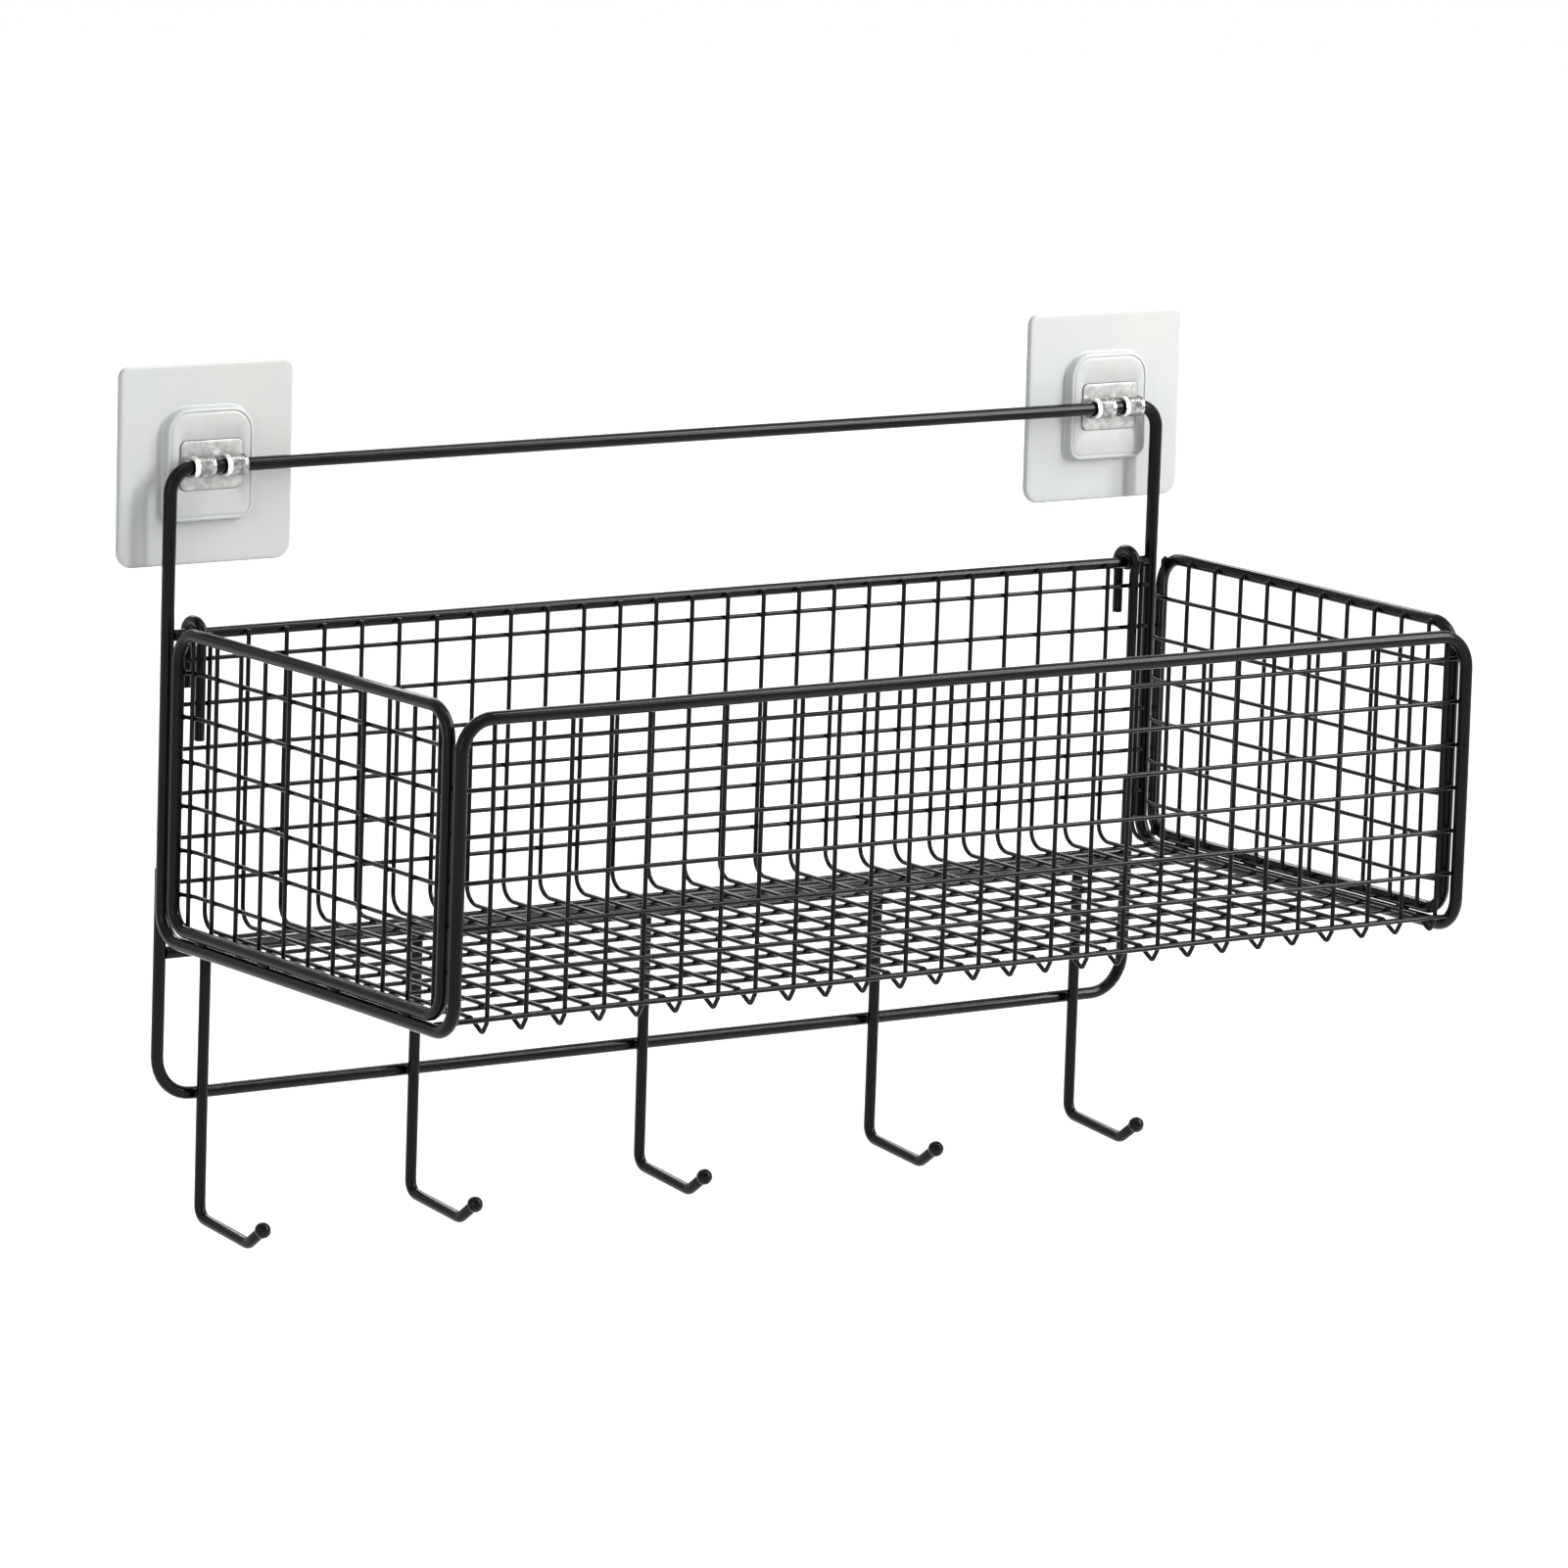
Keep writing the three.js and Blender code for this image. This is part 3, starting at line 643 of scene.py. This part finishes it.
def back_bar():
    bm = bmesh.new()
    reach = loop_x - BAR_WIRE / 2 + BAR_OVER
    wire(bm, [Vector((-reach, loop_y, back_bar_z)), Vector((reach, loop_y, back_bar_z))], BAR_WIRE)
    for side in (-1, 1):
        bead(bm, (side * (loop_x - BAR_WIRE / 2 - BAR_IN), loop_y, back_bar_z), BAR_END_WELD)
    return rack_piece("back_bar_wire", bm, "back_bottom_bar")


def trough_mesh():
    bm = bmesh.new()
    for i in range(cross_count):
        x = cross_x(i)
        astray = x + swayed(i, *CROSS_SWAY)
        mesh_wire(bm, centre_line(
            [
                (x, front_mesh_y, mesh_top_z, 0),
                (astray, front_mesh_y, floor_z, TIP_SHOULDER),
                (astray, front_mesh_y + TIP_BACK, floor_z - TIP_DROP, TIP_BEND),
                (astray, front_mesh_y + TIP_RUN, floor_z, TIP_SHOULDER),
                (x, back_mesh_y, floor_z, BACK_BEND),
                (x, back_mesh_y, mesh_top_z, 0),
            ],
            steps=MESH_STEPS,
        ))
    # Line wires as (y, z, reach, the side on which the cross wires lie: 1 or -1 along y, 0 above)
    lines = [(front_mesh_y - layer, line_z(k), front_reach(line_z(k)), 1) for k in range(front_count)]
    lines += [(floor_line_y(k), floor_z - layer, line_end_x, 0) for k in range(floor_count)]
    lines += [(back_mesh_y + layer, line_z(k), line_end_x, -1) for k in range(back_count)]
    for number, (y, z, reach, inward) in enumerate(lines):
        over = reach + LINE_OVER
        middle_z = z + swayed(number, *LINE_SWAY) * abs(inward)
        mesh_wire(bm, [Vector((-over, y, z)), Vector((0, y, middle_z)), Vector((over, y, z))], side=(0, 1, 0))
        for i in range(cross_count):
            if inward:
                small_bead(bm, (cross_x(i), y + inward * layer / 2, z), WALL_CROSS_WELD)
            else:
                small_bead(bm, (cross_x(i), y, z + layer / 2), FLOOR_CROSS_WELD)
    return rack_piece("trough_mesh_wires", bm, "trough_mesh")


def end_frame(word, side):
    bm = bmesh.new()
    x = side * end_x
    line = centre_line(
        [
            (x, end_front_y, end_top_z, END_TOP_CORNER),
            (x, end_back_y, end_top_z, END_TOP_CORNER),
            (x, end_back_y, end_low_z, END_BOTTOM_CORNER),
            (x, end_front_y, end_low_z, END_BOTTOM_CORNER),
        ],
        closed=True,
    )
    wire(bm, line, END_WIRE, closed=True)
    return rack_piece(word + "_end_frame_wire", bm, word + "_end_frame")


def end_mesh(word, side):
    bm = bmesh.new()
    upright_x = side * (end_x - END_WIRE / 2 - WELD_GAP - mesh_flat)
    line_x = upright_x - side * layer
    frame_x = side * (end_x - END_WIRE / 2 - END_FRAME_IN)
    foot_x = side * (end_x - END_WIRE / 2 - MESH_WIRE / 2 + LINE_NEAR)
    start, stop, low, top = end_front_y, end_back_y, end_low_z, end_top_z
    for i in range(upright_count):
        y = start + FIRST_UPRIGHT + i * MESH_PITCH
        middle_y = y + swayed(i, *UPRIGHT_SWAY, side)
        mesh_wire(bm, [
            Vector((upright_x, y, low)),
            Vector((upright_x, middle_y, (low + top) / 2)),
            Vector((upright_x, y, top)),
        ])
        for z in (low + UPRIGHT_END_IN, top - UPRIGHT_END_IN):
            bead(bm, (frame_x, y, z), UPRIGHT_WELD)
    for k in range(end_line_count):
        z = rim_z - FIRST_END_LINE - k * MESH_PITCH
        mesh_wire(
            bm,
            [
                Vector((foot_x, start, z)), Vector((foot_x, start + LINE_FOOT, z)),
                Vector((line_x, start + LINE_BEND, z)), Vector((line_x, stop - LINE_BEND, z)),
                Vector((foot_x, stop - LINE_FOOT, z)), Vector((foot_x, stop, z)),
            ],
            side=(0, 0, 1),
        )
        for y in (start + END_LINE_IN, stop - END_LINE_IN):
            bead(bm, (frame_x, y, z), END_LINE_WELD)
        for i in range(upright_count):
            y = start + FIRST_UPRIGHT + i * MESH_PITCH
            small_bead(bm, ((upright_x + line_x) / 2, y, z), END_CROSS_WELD)
    return rack_piece(word + "_end_mesh_wires", bm, word + "_end_mesh")


def rim_grip(word, side):
    bm = bmesh.new()
    x = cross_x(0 if side < 0 else cross_count - 1) - GRIP_ASIDE
    shoulder_z = rim_z - GRIP_SHOULDER
    line = [Vector((x, grip_bend, rim_z - GRIP_BEHIND)), Vector((x, grip_bend, shoulder_z))]
    for s in range(ARCH_STEPS + 1):
        turn = math.radians(ARCH_START + ARCH_TURN * s / ARCH_STEPS)
        line.append(Vector((x, GRIP_ARCH * math.cos(turn), rim_z + GRIP_ARCH * ARCH_SHARE * math.sin(turn))))
    line += [Vector((x, -grip_bend, shoulder_z)), Vector((x, -grip_bend, rim_z - GRIP_INSIDE))]
    wire(bm, line, GRIP_WIRE)
    for k in range(GRIP_WELDS):
        bead(bm, (x, back_mesh_y + layer - GRIP_MESH_OUT, line_z(k)), GRIP_MESH_WELD)
    bead(bm, (x, GRIP_RIM_OUT, rim_z + GRIP_RIM_UP), GRIP_RIM_WELD, rows=8, columns=14)
    return rack_piece(word + "_rim_grip_wire", bm, word + "_rim_grip")


def hook(number, spot):
    bm = bmesh.new()
    x = spot * LENGTH
    arm_y = hook_y - HOOK_REACH
    low = hook_bar_z - HOOK_UNDER
    tip = (x, arm_y - HOOK_TIP_RUN, low + HOOK_TIP_RISE)
    line = centre_line([
        (x, hook_y, back_bar_z + HOOK_TOP_OVER, 0),
        (x, hook_y, low + HOOK_DIP, HOOK_HEEL),
        (x, arm_y, low, HOOK_HEEL),
        (*tip, 0),
    ])
    wire(bm, line, HOOK_WIRE)
    bead(bm, tip, (HOOK_BALL / 2, HOOK_BALL / 2, HOOK_BALL / 2), rows=12, columns=18)
    weld_y = (hook_y + HOOK_WIRE / 2 + loop_y - BAR_WIRE / 2) / 2
    for z in (back_bar_z, hook_bar_z):
        bead(bm, (x, weld_y, z), HOOK_WELD)
    return rack_piece(f"hook_wire_{number}", bm, f"hook_{number}")


# Wall mounts
def outline(wide, tall, top_corner, low_corner, steps=CORNER_STEPS):
    """A rounded rectangle as (x, z) spots, anticlockwise from the right, always the same count."""
    spots = []
    for sx, sz, start in ((1, 1, 0), (-1, 1, 90), (-1, -1, 180), (1, -1, 270)):
        radius = top_corner if sz > 0 else low_corner
        for s in range(steps + 1):
            angle = math.radians(start + 90 * s / steps)
            spots.append((
                sx * (wide / 2 - radius) + radius * math.cos(angle),
                sz * (tall / 2 - radius) + radius * math.sin(angle),
            ))
    return spots


def stack(bm, levels):
    """Levels are (outline, distance from the wall); both ends are closed."""
    rings = [[bm.verts.new((x, -out, z)) for x, z in shape] for shape, out in levels]
    return skin_rings(bm, rings, False)


def levels_of(shape, edge):
    """The shape drawn in by each of the edge's insets, with its distance from the wall."""
    wide, tall, top_corner, low_corner = shape
    levels = []
    for inset, out in edge:
        top, low = max(top_corner - inset, LEAST_CORNER), max(low_corner - inset, LEAST_CORNER)
        levels.append((outline(wide - 2 * inset, tall - 2 * inset, top, low), out))
    return levels


def adhesive_sheet(word, place):
    bm = bmesh.new()
    stack(bm, levels_of((PAD_SIDE, PAD_SIDE, *PAD_CORNERS), ADHESIVE_EDGE))
    return mount_piece(word + "_adhesive_film", bm, (film,), word + "_adhesive_sheet", place)


def wall_pad(word, place):
    bm = bmesh.new()
    stack(bm, levels_of((PAD_SIDE, PAD_SIDE, *PAD_CORNERS), PAD_EDGE))
    return mount_piece(word + "_clear_pad", bm, (clear,), word + "_wall_pad", place)


def boss(word, place):
    """The raised boss with the bed for the clip's plate; its foot, flank and rim look like the pad. Its
    groove and the walls of its bed take the boss plastic's darker edge colour, which paints a shaded line
    round the face.
    """
    bm = bmesh.new()
    bed = (PLATE_WIDE + BED_ROOM, PLATE_TALL + BED_ROOM, PLATE_CORNER, PLATE_CORNER)
    levels = levels_of((BOSS_WIDE, BOSS_TALL, *BOSS_CORNERS), BOSS_EDGE) + levels_of(bed, BED_EDGE)
    faces = stack(bm, levels)
    foot = faces[-2]
    flank_faces = FLANK_STEPS * len(levels[0][0])
    # From the groove inwards the faces take the boss plastic: painted shade in the groove and round the bed.
    for number, face in enumerate(faces):
        face.material_index = 1 if number < flank_faces or face is foot else 0
    return mount_piece(
        word + "_clear_boss", bm, (boss_clear, clear), word + "_pad_boss", place
    )


def finger_profile():
    """Collar, ridged barrel and end lip, as (distance along the rail, radius), then back through the bore."""
    inner, outer, end = bore, bore + FINGER_SHEET, FINGER_LENGTH
    profile = [(0, inner + BORE_EDGE)] + [(at, outer + up) for at, up in COLLAR]
    start = RIDGE_START
    while start < end - RIDGE_STOP:
        profile += [(start + at, outer + up) for at, up in RIDGE]
        start += RIDGE_PITCH
    profile += [(end - back, outer + up) for back, up in LIP]
    return profile + [(end, inner + BORE_EDGE), (end - BORE_ROUND, inner), (BORE_ROUND, inner)]


def finger(bm, start):
    """One curled finger round the rail, open by a slot at its upper back."""
    profile = finger_profile()
    slot = math.radians(SLOT_WIDTH)
    first = math.radians(SLOT_PLACE) + slot / 2
    rings = []
    for s in range(FINGER_STEPS + 1):
        angle = first + (2 * math.pi - slot) * s / FINGER_STEPS
        rings.append([
            bm.verts.new((start + x, -RAIL_OUT + r * math.cos(angle), r * math.sin(angle)))
            for x, r in profile
        ])
    for face in skin_rings(bm, rings, False):
        along = face.calc_center_median().x - start
        # The collar takes the brighter steel, a painted highlight; the barrel takes the grained steel.
        face.material_index = 1 if along > HIGHLIGHT_COLLAR else 0


def clip(word, place):
    """The plate, and two fingers whose flat stems leave it under the rail."""
    bm = bmesh.new()
    plate = stack(bm, levels_of((PLATE_WIDE, PLATE_TALL, PLATE_CORNER, PLATE_CORNER), PLATE_EDGE))
    for face in plate:
        face.material_index = 2
    for start in (-FINGER_SPACE / 2 - FINGER_LENGTH, FINGER_SPACE / 2):
        finger(bm, start)
        middle = start + FINGER_LENGTH / 2
        stem = [
            (x + middle, z - bore - FINGER_SHEET / 2)
            for x, z in outline(FINGER_LENGTH, FINGER_SHEET, STEM_CORNER, STEM_CORNER, STEM_STEPS)
        ]
        for face in stack(bm, [(stem, STEM_BACK), (stem, STEM_FRONT)]):
            face.material_index = 1
    return mount_piece(
        word + "_clip_steel", bm, (collar_highlight, worn, satin), word + "_rail_clip", place, CLIP_ANGLE
    )


main_frame()
back_rim()
lower_loop()
back_bar()
trough_mesh()
for word, side in (("left", -1), ("right", 1)):
    end_frame(word, side)
    end_mesh(word, side)
    rim_grip(word, side)
    mount = Matrix.Translation((side * mount_x * MILLIMETRE, 0, 0)) @ Matrix.Scale(MILLIMETRE, 4)
    adhesive_sheet(word, mount)
    wall_pad(word, mount)
    boss(word, mount)
    clip(word, mount)
for number, spot in enumerate(HOOK_SPOTS, 1):
    hook(number, spot)


# Stage, in metres
FLOOR_RADII, FLOOR_SIDES, FLOOR_Z = (0.3, 0.8, 1.6, 3.2, 6.5, 12.0), 48, -0.95
AMBIENT = 0.5  # the white world's light on the object
RIGHT_AIM, MIDDLE_AIM, REAR_AIM = (0.05, -0.1, -0.1), (0, -0.1, -0.1), (0, -0.05, -0.1)
LAMPS = (  # name, place, aim, width, height, watts
    ("right_strip", (1.46, -1.5, 0.8), RIGHT_AIM, 0.28, 1.2, 31),
    ("upper_right_strip", (1.3, -0.75, 1.35), RIGHT_AIM, 0.25, 1.2, 28),
    ("overhead_softbox", (-0.2, -0.4, 1.7), MIDDLE_AIM, 1.0, 0.7, 5),
    ("left_softbox", (-1.9, -0.9, 0.5), MIDDLE_AIM, 0.6, 1.2, 8),
    ("back_softbox", (0.4, 1.5, 1.0), REAR_AIM, 1.4, 0.35, 16),
)

# The camera that was fitted to the photograph
FOCAL_PIXELS, FRAME_PIXELS, SENSOR = 9378.8, 1601, 36
CAMERA_PLACE, CAMERA_TURN = (-1.72049, -2.48722, 0.40053), (35.470, 9.717, 1.583)
NEAR, FAR = 0.05, 60


def seen_as_background(nodes, links):
    """1 for rays that show the background: straight from the camera, mirrored or through clear plastic."""
    path = nodes.new("ShaderNodeLightPath")
    plain = math_node(nodes, links, "MAXIMUM", path.outputs["Is Camera Ray"], path.outputs["Is Glossy Ray"])
    return math_node(nodes, links, "MAXIMUM", plain, path.outputs["Is Transmission Ray"])


def floor_material():
    """Pale and matt; it turns into the white background further out, and isn't seen from below."""
    material, nodes, links, shader = new_material("pale_floor")
    shader.inputs["Base Color"].default_value = (0.86, 0.86, 0.86, 1)
    shader.inputs["Roughness"].default_value = 0.9
    shader.inputs["Specular IOR Level"].default_value = 0.1
    where = nodes.new("ShaderNodeTexCoord")
    far = nodes.new("ShaderNodeVectorMath")
    far.operation = "LENGTH"
    links.new(where.outputs["Object"], far.inputs[0])
    lift = map_range(nodes, links, far.outputs["Value"], start=0.6, stop=2.2, low=0.5, high=1.0)
    glow = nodes.new("ShaderNodeEmission")
    strength = math_node(nodes, links, "MULTIPLY", seen_as_background(nodes, links), lift)
    links.new(strength, glow.inputs["Strength"])
    both = nodes.new("ShaderNodeAddShader")
    links.new(shader.outputs[0], both.inputs[0])
    links.new(glow.outputs[0], both.inputs[1])
    hidden = nodes.new("ShaderNodeBsdfTransparent")
    facing = nodes.new("ShaderNodeNewGeometry")
    mix = nodes.new("ShaderNodeMixShader")
    links.new(facing.outputs["Backfacing"], mix.inputs[0])
    links.new(both.outputs[0], mix.inputs[1])
    links.new(hidden.outputs[0], mix.inputs[2])
    links.new(mix.outputs[0], nodes["Material Output"].inputs["Surface"])
    return material


def pale_floor():
    """A round floor, well below the hooks."""
    bm = bmesh.new()
    turns = [2 * math.pi * s / FLOOR_SIDES for s in range(FLOOR_SIDES)]
    rings = [
        [bm.verts.new((radius * math.cos(turn), radius * math.sin(turn), 0)) for turn in turns]
        for radius in FLOOR_RADII
    ]
    bm.faces.new(rings[0])
    for a, b in zip(rings, rings[1:]):
        for s in range(FLOOR_SIDES):
            n = (s + 1) % FLOOR_SIDES
            bm.faces.new((a[s], b[s], b[n], a[n]))
    mesh = bpy.data.meshes.new("pale_floor")
    bm.to_mesh(mesh)
    bm.free()
    floor = bpy.data.objects.new("pale_floor", mesh)
    floor.location = (0, 0, FLOOR_Z)
    bpy.context.scene.collection.objects.link(floor)
    mesh.materials.append(floor_material())


def white_world():
    world = bpy.data.worlds.new("studio")
    bpy.context.scene.world = world
    world.use_nodes = True
    nodes, links = world.node_tree.nodes, world.node_tree.links
    background = nodes["Background"]
    background.inputs["Color"].default_value = (1, 1, 1, 1)
    seen = seen_as_background(nodes, links)
    strength = map_range(nodes, links, seen, start=0, stop=1, low=AMBIENT, high=1)
    links.new(strength, background.inputs["Strength"])


def softbox(name, place, aim, width, height, watts):
    data = bpy.data.lights.new(name, "AREA")
    data.shape = "RECTANGLE"
    data.size, data.size_y = width, height
    data.energy = watts
    lamp = bpy.data.objects.new(name, data)
    lamp.location = place
    lamp.rotation_euler = (Vector(aim) - Vector(place)).to_track_quat("-Z", "Y").to_euler()
    bpy.context.scene.collection.objects.link(lamp)


def studio_camera():
    data = bpy.data.cameras.new("camera")
    data.sensor_fit = "HORIZONTAL"
    data.sensor_width = SENSOR
    data.lens = FOCAL_PIXELS / FRAME_PIXELS * SENSOR
    data.clip_start, data.clip_end = NEAR, FAR
    camera = bpy.data.objects.new("camera", data)
    az, el, roll = (math.radians(a) for a in CAMERA_TURN)
    ahead = Vector((math.sin(az) * math.cos(el), math.cos(az) * math.cos(el), -math.sin(el)))
    right = Vector((math.cos(az), -math.sin(az), 0))
    up = right.cross(ahead)
    turned_right = right * math.cos(roll) + up * math.sin(roll)
    turned_up = up * math.cos(roll) - right * math.sin(roll)
    place = Matrix((turned_right, turned_up, -ahead)).transposed().to_4x4()
    place.translation = Vector(CAMERA_PLACE)
    camera.matrix_world = place
    bpy.context.scene.collection.objects.link(camera)
    bpy.context.scene.camera = camera


pale_floor()
white_world()
for lamp in LAMPS:
    softbox(*lamp)
studio_camera()
bpy.context.scene.view_settings.view_transform = "Standard"
